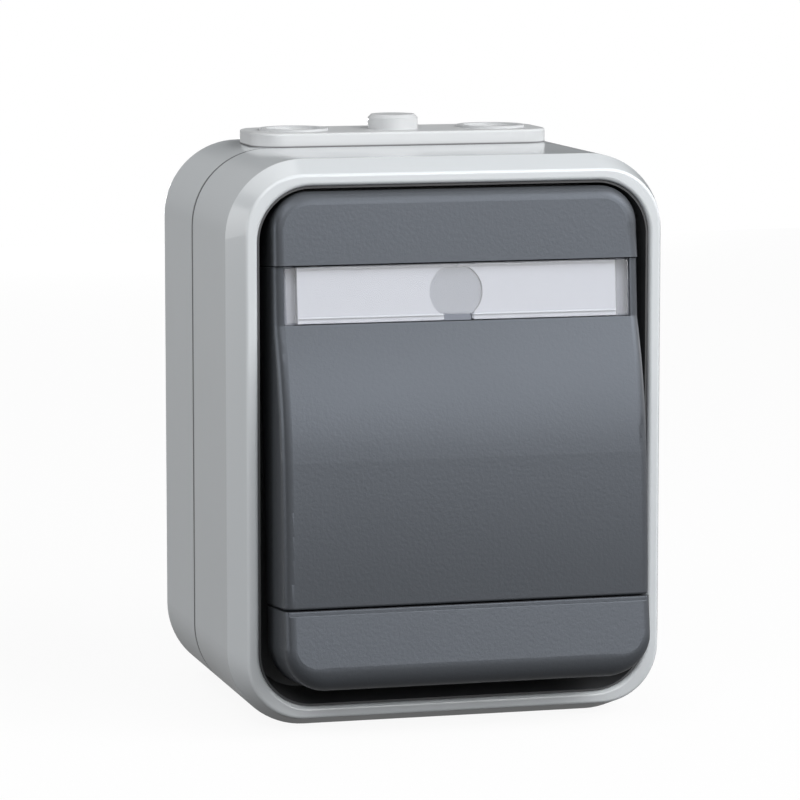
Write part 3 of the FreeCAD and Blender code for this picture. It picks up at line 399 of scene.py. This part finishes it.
# %% Membrane rings
MEMBRANE_X = 15.5 * MM
MEMBRANE_DEPTH = 12.5 * MM
MEMBRANE_RADII = (3.3 * MM, 2.1 * MM, 0.9 * MM)
RING_WIRE = 0.12 * MM
NUB_HEIGHT = 2.2 * MM

plate_top = cad_bounds[1][2] - NUB_HEIGHT
for side, side_name in ((-1, "left"), (1, "right")):
    for number, radius in enumerate(MEMBRANE_RADII, 1):
        bpy.ops.object.select_all(action="DESELECT")
        bpy.ops.mesh.primitive_torus_add(
            location=(side * MEMBRANE_X, -MEMBRANE_DEPTH, plate_top),
            major_radius=radius,
            minor_radius=RING_WIRE,
            major_segments=72,
            minor_segments=16,
        )
        ring = bpy.context.object
        ring.name = f"membrane_{side_name}_ring_{number}"
        bpy.ops.object.transform_apply(location=True, rotation=True, scale=True)
        bpy.ops.object.shade_smooth()
        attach(ring, "housing")
        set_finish(ring, "entry_pale")
print("membranes: rings of", [round(radius / MM, 1) for radius in MEMBRANE_RADII], "mm")

# %% [markdown]
# Two noises are shared by most finishes. A slow drift, about two centimetres across, keeps a large moulding
# from looking like flat paint. A fine grain, a fraction of a millimetre across, is the mould's own texture.
# Both are node groups that hand a plain value to the material.

# %% Shared noises
DRIFT_SCALE = 45.0
GRAIN_SCALE = 3500.0


def make_group(name, inputs, output):
    """Empty node group with number inputs and one number output."""
    tree = bpy.data.node_groups.new(name, "ShaderNodeTree")
    for title, value in inputs.items():
        socket = tree.interface.new_socket(title, in_out="INPUT", socket_type="NodeSocketFloat")
        socket.default_value = value
    tree.interface.new_socket(output, in_out="OUTPUT", socket_type="NodeSocketFloat")
    return tree, tree.nodes.new("NodeGroupInput"), tree.nodes.new("NodeGroupOutput")


def noise_group(name, output, scale, detail, roughness):
    """Group that hands out a noise over the object's own space."""
    tree, group_in, group_out = make_group(name, {"Scale": scale}, output)
    place = tree.nodes.new("ShaderNodeTexCoord")
    noise = tree.nodes.new("ShaderNodeTexNoise")
    noise.inputs["Detail"].default_value = detail
    noise.inputs["Roughness"].default_value = roughness
    tree.links.new(place.outputs["Object"], noise.inputs["Vector"])
    tree.links.new(group_in.outputs["Scale"], noise.inputs["Scale"])
    tree.links.new(noise.outputs["Fac"], group_out.inputs[output])
    return tree


drift_group = noise_group("slow_drift", "Drift", DRIFT_SCALE, detail=3.0, roughness=0.55)
grain_group = noise_group("fine_grain", "Height", GRAIN_SCALE, detail=2.0, roughness=0.6)
print("node groups:", drift_group.name, grain_group.name)

# %% [markdown]
# Where two mouldings meet, a tight joint would show a thin line of shade, and the finishes paint that shade.
# A third group makes a soft line for the painted shade: it is 1 at a place along an axis, and falls to 0 on
# either side.

# %% Joint line
line_inputs = {"Place": 0.0, "Centre": 0.0, "Half": 1.0 * MM}
line_group, group_in, group_out = make_group("joint_line", line_inputs, "Line")
offset = line_group.nodes.new("ShaderNodeMath")
offset.operation = "SUBTRACT"
size = line_group.nodes.new("ShaderNodeMath")
size.operation = "ABSOLUTE"
fall = line_group.nodes.new("ShaderNodeMapRange")
fall.interpolation_type = "SMOOTHSTEP"
fall.inputs["From Min"].default_value = 0.0
fall.inputs["To Min"].default_value = 1.0
fall.inputs["To Max"].default_value = 0.0
line_group.links.new(group_in.outputs["Place"], offset.inputs[0])
line_group.links.new(group_in.outputs["Centre"], offset.inputs[1])
line_group.links.new(offset.outputs[0], size.inputs[0])
line_group.links.new(size.outputs[0], fall.inputs["Value"])
line_group.links.new(group_in.outputs["Half"], fall.inputs["From Max"])
line_group.links.new(fall.outputs["Result"], group_out.inputs["Line"])
print("node group:", line_group.name)

# %% [markdown]
# A finish is built from a few steps: two close colours blended by a noise, a gloss that varies with it,
# and fine bumps. A moulded plastic takes the first two from the drift and its bumps from the grain.

# %% Finish helpers
# most of a noise lies between these two values
NOISE_LOW, NOISE_HIGH = 0.25, 0.75


def new_finish(name):
    material = bpy.data.materials.new(name)
    material.use_nodes = True
    return material, material.node_tree, material.node_tree.nodes["Principled BSDF"]


def add_group(tree, group, scale):
    node = tree.nodes.new("ShaderNodeGroup")
    node.node_tree = group
    node.inputs["Scale"].default_value = scale
    return node


def blend_colours(tree, shader, factor, first, second):
    """Base colour between two colours, by a factor from 0 to 1."""
    mix = tree.nodes.new("ShaderNodeMix")
    mix.data_type = "RGBA"
    mix.inputs["A"].default_value = (*first, 1)
    mix.inputs["B"].default_value = (*second, 1)
    tree.links.new(factor, mix.inputs["Factor"])
    tree.links.new(mix.outputs["Result"], shader.inputs["Base Color"])


def vary_roughness(tree, shader, factor, low, high):
    remap = tree.nodes.new("ShaderNodeMapRange")
    remap.inputs["From Min"].default_value = NOISE_LOW
    remap.inputs["From Max"].default_value = NOISE_HIGH
    remap.inputs["To Min"].default_value = low
    remap.inputs["To Max"].default_value = high
    tree.links.new(factor, remap.inputs["Value"])
    tree.links.new(remap.outputs["Result"], shader.inputs["Roughness"])


def raise_bumps(tree, shader, height, depth, strength):
    bump = tree.nodes.new("ShaderNodeBump")
    bump.inputs["Distance"].default_value = depth
    bump.inputs["Strength"].default_value = strength
    tree.links.new(height, bump.inputs["Height"])
    tree.links.new(bump.outputs["Normal"], shader.inputs["Normal"])


def moulded(name, first, second, gloss, grain_scale, grain_depth, grain_strength):
    material, tree, shader = new_finish(name)
    drift = add_group(tree, drift_group, DRIFT_SCALE)
    grain = add_group(tree, grain_group, grain_scale)
    blend_colours(tree, shader, drift.outputs["Drift"], first, second)
    vary_roughness(tree, shader, drift.outputs["Drift"], *gloss)
    raise_bumps(tree, shader, grain.outputs["Height"], grain_depth, grain_strength)
    return material


# %% [markdown]
# All plastics here differ only in a few numbers. The housing is glossy and almost without grain, the rocker
# is satin, the entry plate is soft and near white, and the card behind the window is matt.

# %% Moulded plastics
# slot: name, two colours, range of roughness, grain's scale, depth and strength
PLASTICS = {
    "housing_grey": (
        "housing_grey_plastic", (0.715, 0.748, 0.772), (0.728, 0.760, 0.784), (0.13, 0.18),
        2500, 0.002 * MM, 0.2,
    ),
    "rocker_grey": (
        "rocker_dark_satin", (0.0635, 0.0685, 0.0765), (0.068, 0.0735, 0.0815), (0.33, 0.37),
        2000, 0.035 * MM, 0.6,
    ),
    "entry_pale": (
        "entry_soft_white", (0.555, 0.568, 0.578), (0.575, 0.588, 0.598), (0.4, 0.5),
        3000, 0.006 * MM, 0.4,
    ),
    "collar_black": (
        "collar_dark_matt", (0.060, 0.062, 0.066), (0.070, 0.072, 0.076), (0.4, 0.5),
        3000, 0.01 * MM, 0.5,
    ),
    "guide_grey": (
        "lens_milky_grey", (0.24, 0.257, 0.30), (0.26, 0.277, 0.32), (0.45, 0.55),
        1500, 0.0005 * MM, 0.2,
    ),
    "label_white": (
        "label_card", (0.43, 0.447, 0.50), (0.45, 0.467, 0.52), (0.65, 0.8),
        2200, 0.0005 * MM, 0.2,
    ),
    "seal_black": (
        "seal_rubber", (0.018, 0.018, 0.019), (0.030, 0.030, 0.031), (0.7, 0.85),
        1800, 0.02 * MM, 0.6,
    ),
    "insulation": (
        "insulation_cream", (0.60, 0.58, 0.52), (0.66, 0.64, 0.57), (0.4, 0.55),
        2400, 0.01 * MM, 0.4,
    ),
    "cradle_black": (
        "cradle_nylon", (0.020, 0.021, 0.022), (0.032, 0.033, 0.034), (0.45, 0.6),
        2600, 0.015 * MM, 0.5,
    ),
}
finishes = {slot: moulded(*values) for slot, values in PLASTICS.items()}
print("plastics:", ", ".join(finishes))

# %% [markdown]
# Card and milky plastic have little shine of their own behind the cap. The rocker comes from a mould with
# a sparked, satin face: its speckle of colour follows the grain, and its shine has a cool tint.

# %% Shine of label, lens and rocker
LOW_SHINE = 0.1
COOL_SHINE = (0.78, 0.86, 1.0, 1)

for name in ("label_white", "guide_grey"):
    shader = finishes[name].node_tree.nodes["Principled BSDF"]
    shader.inputs["Specular IOR Level"].default_value = LOW_SHINE
tree = finishes["rocker_grey"].node_tree
shader = tree.nodes["Principled BSDF"]
shader.inputs["Specular Tint"].default_value = COOL_SHINE
speckle = next(node for node in tree.nodes if node.type == "GROUP" and node.node_tree == grain_group)
mix = next(node for node in tree.nodes if node.type == "MIX")
tree.links.new(speckle.outputs["Height"], mix.inputs["Factor"])
print("rocker: speckle from", speckle.node_tree.name)

# %% [markdown]
# Box and cover meet in a joint all round the housing, and the entry plate lies on the box.
# Both joints are too tight to cast a shadow by their shape alone, so the finish paints a line of shade there.

# %% Painted shade in the joints
# the joints' colours are painted shade, standing in for the shadow of a gap
HOUSING_JOINT_Y = -20.4 * MM
HOUSING_JOINT_HALF = 0.8 * MM
HOUSING_JOINT_SHADE = (0.12, 0.125, 0.13)
ENTRY_FOOT_Z = 41.5 * MM
ENTRY_JOINT_HALF = 0.3 * MM
ENTRY_JOINT_SHADE = (0.08, 0.08, 0.085)


def paint_joint_shade(finish, axis, centre, half, shade_colour):
    """Blend painted shade into a finish along a joint across one axis."""
    tree = finishes[finish].node_tree
    unshaded = next(node for node in tree.nodes if node.type == "MIX")
    place = tree.nodes.new("ShaderNodeTexCoord")
    split = tree.nodes.new("ShaderNodeSeparateXYZ")
    line = tree.nodes.new("ShaderNodeGroup")
    line.node_tree = line_group
    line.inputs["Centre"].default_value = centre
    line.inputs["Half"].default_value = half
    joint_shade_mix = tree.nodes.new("ShaderNodeMix")
    joint_shade_mix.data_type = "RGBA"
    joint_shade_mix.inputs["B"].default_value = (*shade_colour, 1)
    tree.links.new(place.outputs["Object"], split.inputs["Vector"])
    tree.links.new(split.outputs[axis], line.inputs["Place"])
    tree.links.new(line.outputs["Line"], joint_shade_mix.inputs["Factor"])
    tree.links.new(unshaded.outputs["Result"], joint_shade_mix.inputs["A"])
    tree.links.new(joint_shade_mix.outputs["Result"], tree.nodes["Principled BSDF"].inputs["Base Color"])
    print(finish, "has a joint line at", axis, round(centre / MM, 1), "mm")


# paint shade along the cover's joint and under the entry plate
paint_joint_shade("housing_grey", "Y", HOUSING_JOINT_Y, HOUSING_JOINT_HALF, HOUSING_JOINT_SHADE)
paint_joint_shade("entry_pale", "Z", ENTRY_FOOT_Z, ENTRY_JOINT_HALF, ENTRY_JOINT_SHADE)

# %% [markdown]
# Hidden inside are pressed steel, brass strips and silver contacts. Rolled metal keeps fine lines along the
# rolling direction, so its grain is stretched, and a light tarnish drifts between two tones.

# %% Metals
METAL_DRIFT = 120.0
ROLLED_LINES = (4000, 4000, 250)
LINE_DEPTH = 0.005 * MM
LINE_STRENGTH = 0.4


def rolled_metal(name, first, second, gloss):
    material, tree, shader = new_finish(name)
    shader.inputs["Metallic"].default_value = 1.0
    drift = add_group(tree, drift_group, METAL_DRIFT)
    blend_colours(tree, shader, drift.outputs["Drift"], first, second)
    vary_roughness(tree, shader, drift.outputs["Drift"], *gloss)
    place = tree.nodes.new("ShaderNodeTexCoord")
    stretch = tree.nodes.new("ShaderNodeMapping")
    stretch.inputs["Scale"].default_value = ROLLED_LINES
    lines = tree.nodes.new("ShaderNodeTexNoise")
    lines.inputs["Scale"].default_value = 1.0
    tree.links.new(place.outputs["Object"], stretch.inputs["Vector"])
    tree.links.new(stretch.outputs["Vector"], lines.inputs["Vector"])
    raise_bumps(tree, shader, lines.outputs["Fac"], LINE_DEPTH, LINE_STRENGTH)
    return material


# slot: name, two colours, range of roughness
METALS = {
    "steel": ("zinc_plated_steel", (0.55, 0.56, 0.58), (0.66, 0.67, 0.68), (0.25, 0.4)),
    "brass": ("contact_brass", (0.72, 0.52, 0.22), (0.80, 0.62, 0.30), (0.22, 0.36)),
    "contact_silver": ("contact_silver", (0.80, 0.79, 0.76), (0.90, 0.89, 0.87), (0.15, 0.3)),
}
for slot, values in METALS.items():
    finishes[slot] = rolled_metal(*values)
print("metals:", ", ".join(METALS))

# %% [markdown]
# Clear pieces let shadow rays and scattered rays through, because a label behind acrylic is lit through it.
# Without that the card would lie in the shadow of its own cap, or be lit twice.

# %% Clear pieces
CLEAR_DRIFT = 200.0


def clear(name, tint, ior, gloss):
    material, tree, shader = new_finish(name)
    shader.inputs["Base Color"].default_value = (*tint, 1)
    shader.inputs["Transmission Weight"].default_value = 1.0
    shader.inputs["IOR"].default_value = ior
    drift = add_group(tree, drift_group, CLEAR_DRIFT)
    vary_roughness(tree, shader, drift.outputs["Drift"], *gloss)
    open_path = tree.nodes.new("ShaderNodeBsdfTransparent")
    paths = tree.nodes.new("ShaderNodeLightPath")
    mix = tree.nodes.new("ShaderNodeMixShader")
    passed = tree.nodes.new("ShaderNodeMath")
    passed.operation = "MAXIMUM"
    tree.links.new(paths.outputs["Is Shadow Ray"], passed.inputs[0])
    tree.links.new(paths.outputs["Is Diffuse Ray"], passed.inputs[1])
    tree.links.new(passed.outputs[0], mix.inputs["Fac"])
    tree.links.new(shader.outputs["BSDF"], mix.inputs[1])
    tree.links.new(open_path.outputs["BSDF"], mix.inputs[2])
    tree.links.new(mix.outputs["Shader"], tree.nodes["Material Output"].inputs["Surface"])
    return material


finishes["window_clear"] = clear("window_acrylic", (0.97, 0.975, 0.985), 1.49, (0.01, 0.04))
finishes["lamp_glass"] = clear("lamp_glass", (0.98, 0.96, 0.93), 1.5, (0.0, 0.03))
print("clear: window_clear, lamp_glass")

# %% [markdown]
# Each solid has its slot in the part's record, and each new piece was given one as it was made.
# The slot's finish goes on both in the same way.

# %% Put on the finishes
slot_of_node = {entry["node"]: entry["material_slot"] for entry in frame["record"]["subparts"]}
for name, node in nodes.items():
    node.data.materials.clear()
    node.data.materials.append(finishes[slot_of_node[name]])
new_pieces = [piece for piece in bpy.data.objects if piece.get("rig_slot")]
for piece in new_pieces:
    piece.data.materials.clear()
    piece.data.materials.append(finishes[piece["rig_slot"]])
print("finishes on", len(nodes), "nodes and", len(new_pieces), "new pieces")

# %% [markdown]
# Studio light on moulded plastic comes from large soft boxes, because small lamps leave hard spots on edges.
# Each box is given by the direction it stands in, seen from the switch, and its size and brightness.

# %% Soft boxes
LIGHT_TARGET = Vector((0, -24, 0)) * MM
LIGHT_DISTANCE = 0.9
# name: azimuth from the front towards +X, elevation, width, height, watts
SOFT_BOXES = {
    "key_right": (42, 40, 0.6, 0.5, 3.9),
    "side_right": (60, 28, 0.6, 0.5, 2.5),
    "front_main": (18, 21, 0.5, 0.3, 1.85),
    "front_low": (22, 8, 0.6, 0.25, 1.1),
    "front_left": (-25, 40, 0.5, 0.4, 1.75),
    "left_high": (-60, 50, 0.6, 0.5, 1.5),
    "left_low": (-95, 4, 0.5, 0.4, 2.7),
    "left_back": (-135, 8, 0.6, 0.4, 1.0),
    "right_back": (115, 15, 0.6, 0.5, 1.2),
    "back_high": (-165, 40, 0.6, 0.5, 0.8),
    "back_low": (171, -1.5, 0.28, 0.03, 3.0),
}


def direction(azimuth, elevation):
    """Unit vector from the switch: azimuth 0 is the front and turns towards +X."""
    a, e = math.radians(azimuth), math.radians(elevation)
    return Vector((math.sin(a) * math.cos(e), -math.cos(a) * math.cos(e), math.sin(e)))


def add_soft_box(name, azimuth, elevation, width, height, watts):
    data = bpy.data.lights.new(name, "AREA")
    data.shape = "RECTANGLE"
    data.size = width
    data.size_y = height
    data.energy = watts
    box = bpy.data.objects.new(name, data)
    towards = direction(azimuth, elevation)
    box.location = LIGHT_TARGET + towards * LIGHT_DISTANCE
    box.rotation_euler = (-towards).to_track_quat("-Z", "Y").to_euler()
    box.visible_camera = False
    bpy.context.scene.collection.objects.link(box)
    return box


for name, values in SOFT_BOXES.items():
    add_soft_box(name, *values)
print("soft boxes:", ", ".join(SOFT_BOXES))

# %% [markdown]
# The background is white paper. The world shows white to the camera and in reflections, and lights the switch
# only a little, so the paper doesn't wash the soft boxes out.

# %% World
WORLD_LIGHT = 0.03


def seen_rays(tree):
    """1 for rays from the camera, and for those it follows through a reflection or clear plastic."""
    paths = tree.nodes.new("ShaderNodeLightPath")
    total = paths.outputs["Is Camera Ray"]
    for ray in ("Is Glossy Ray", "Is Transmission Ray"):
        either = tree.nodes.new("ShaderNodeMath")
        either.operation = "MAXIMUM"
        tree.links.new(total, either.inputs[0])
        tree.links.new(paths.outputs[ray], either.inputs[1])
        total = either.outputs[0]
    return total


world = bpy.data.worlds.new("white_studio")
bpy.context.scene.world = world
world.use_nodes = True
tree = world.node_tree
tree.nodes.clear()
output = tree.nodes.new("ShaderNodeOutputWorld")
lit = tree.nodes.new("ShaderNodeBackground")
lit.inputs["Color"].default_value = (1, 1, 1, 1)
lit.inputs["Strength"].default_value = WORLD_LIGHT
white = tree.nodes.new("ShaderNodeBackground")
white.inputs["Color"].default_value = (1, 1, 1, 1)
mix = tree.nodes.new("ShaderNodeMixShader")
tree.links.new(seen_rays(tree), mix.inputs["Fac"])
tree.links.new(lit.outputs[0], mix.inputs[1])
tree.links.new(white.outputs[0], mix.inputs[2])
tree.links.new(mix.outputs[0], output.inputs["Surface"])
bpy.context.scene.view_settings.view_transform = "Standard"
print("world lights the switch at", WORLD_LIGHT)

# %% [markdown]
# A photographer keeps dark flags just out of the picture, so that glossy sides mirror something darker than
# the paper. These flags are seen only in reflections: they cast no shadow and light nothing.
# The low one lies under the floor and stands in for it.

# %% Flags
FLAG_DROP = 0.5 * MM

floor_height = cad_bounds[0][2]


def add_flag(name, tone, size, location, facing):
    bpy.ops.object.select_all(action="DESELECT")
    bpy.ops.mesh.primitive_plane_add(size=1, location=location)
    flag = bpy.context.object
    flag.name = name
    flag.scale = (*size, 1)
    flag.rotation_euler = Vector(facing).to_track_quat("Z", "Y").to_euler()
    flag.visible_camera = False
    flag.visible_diffuse = False
    flag.visible_transmission = False
    flag.visible_shadow = False
    cloth, tree, _ = new_finish(name + "_cloth")
    glow = tree.nodes.new("ShaderNodeEmission")
    glow.inputs["Color"].default_value = (tone, tone, tone, 1)
    tree.links.new(glow.outputs["Emission"], tree.nodes["Material Output"].inputs["Surface"])
    flag.data.materials.append(cloth)
    flag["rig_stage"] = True
    print(name, "has tone", tone)


# name, tone, size, place and the way it faces
add_flag("flag_back_left", 0.15, (1.6, 1.6), (-0.8, 0.9, 0.55), (0, -1, 0))
add_flag("flag_back_right", 0.03, (1.6, 1.6), (0.8, 0.9, 0.55), (0, -1, 0))
add_flag("flag_left", 0.02, (2.4, 1.6), (-1.1, 0.2, 0.4), (1, 0, 0))
add_flag("flag_low", 0.22, (6.0, 6.0), (0, 0, floor_height - FLAG_DROP), (0, 0, 1))

# %% [markdown]
# The floor is the same white paper. It glows for the camera, so the switch stands on white, and keeps a faint
# soft shadow. It ends within reach of the lamps, where it blends into the white world.
# Reflections pass it by and show the low flag.

# %% Floor
FLOOR_SHARE = 0.92
FLOOR_SIZE = 1.4
PAPER_WHITE = (0.9, 0.9, 0.9, 1)

bpy.ops.object.select_all(action="DESELECT")
bpy.ops.mesh.primitive_plane_add(size=FLOOR_SIZE, location=(0, 0, floor_height))
floor = bpy.context.object
floor.name = "paper_floor"
floor.visible_diffuse = False
floor.visible_glossy = False
paper, tree, shader = new_finish("white_paper")
shader.inputs["Base Color"].default_value = PAPER_WHITE
shader.inputs["Roughness"].default_value = 1.0
glow = tree.nodes.new("ShaderNodeEmission")
glow.inputs["Strength"].default_value = 1.0
share = tree.nodes.new("ShaderNodeMath")
share.operation = "MULTIPLY"
share.inputs[1].default_value = FLOOR_SHARE
mix = tree.nodes.new("ShaderNodeMixShader")
tree.links.new(seen_rays(tree), share.inputs[0])
tree.links.new(share.outputs[0], mix.inputs["Fac"])
tree.links.new(shader.outputs[0], mix.inputs[1])
tree.links.new(glow.outputs[0], mix.inputs[2])
tree.links.new(mix.outputs[0], tree.nodes["Material Output"].inputs["Surface"])
floor.data.materials.append(paper)
floor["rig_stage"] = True
print("floor at", round(floor_height / MM, 2), "mm, and", FLOOR_SIZE, "m wide")

# %% [markdown]
# The last cell prints the finished model's box beside the solids' box.

# %% Sizes
sizes = {
    "cad": [list(corner) for corner in cad_bounds],
    "visual": [list(corner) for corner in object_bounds()],
}
for key, box in sizes.items():
    print(key, "box in mm:", [[round(value / MM, 2) for value in corner] for corner in box])
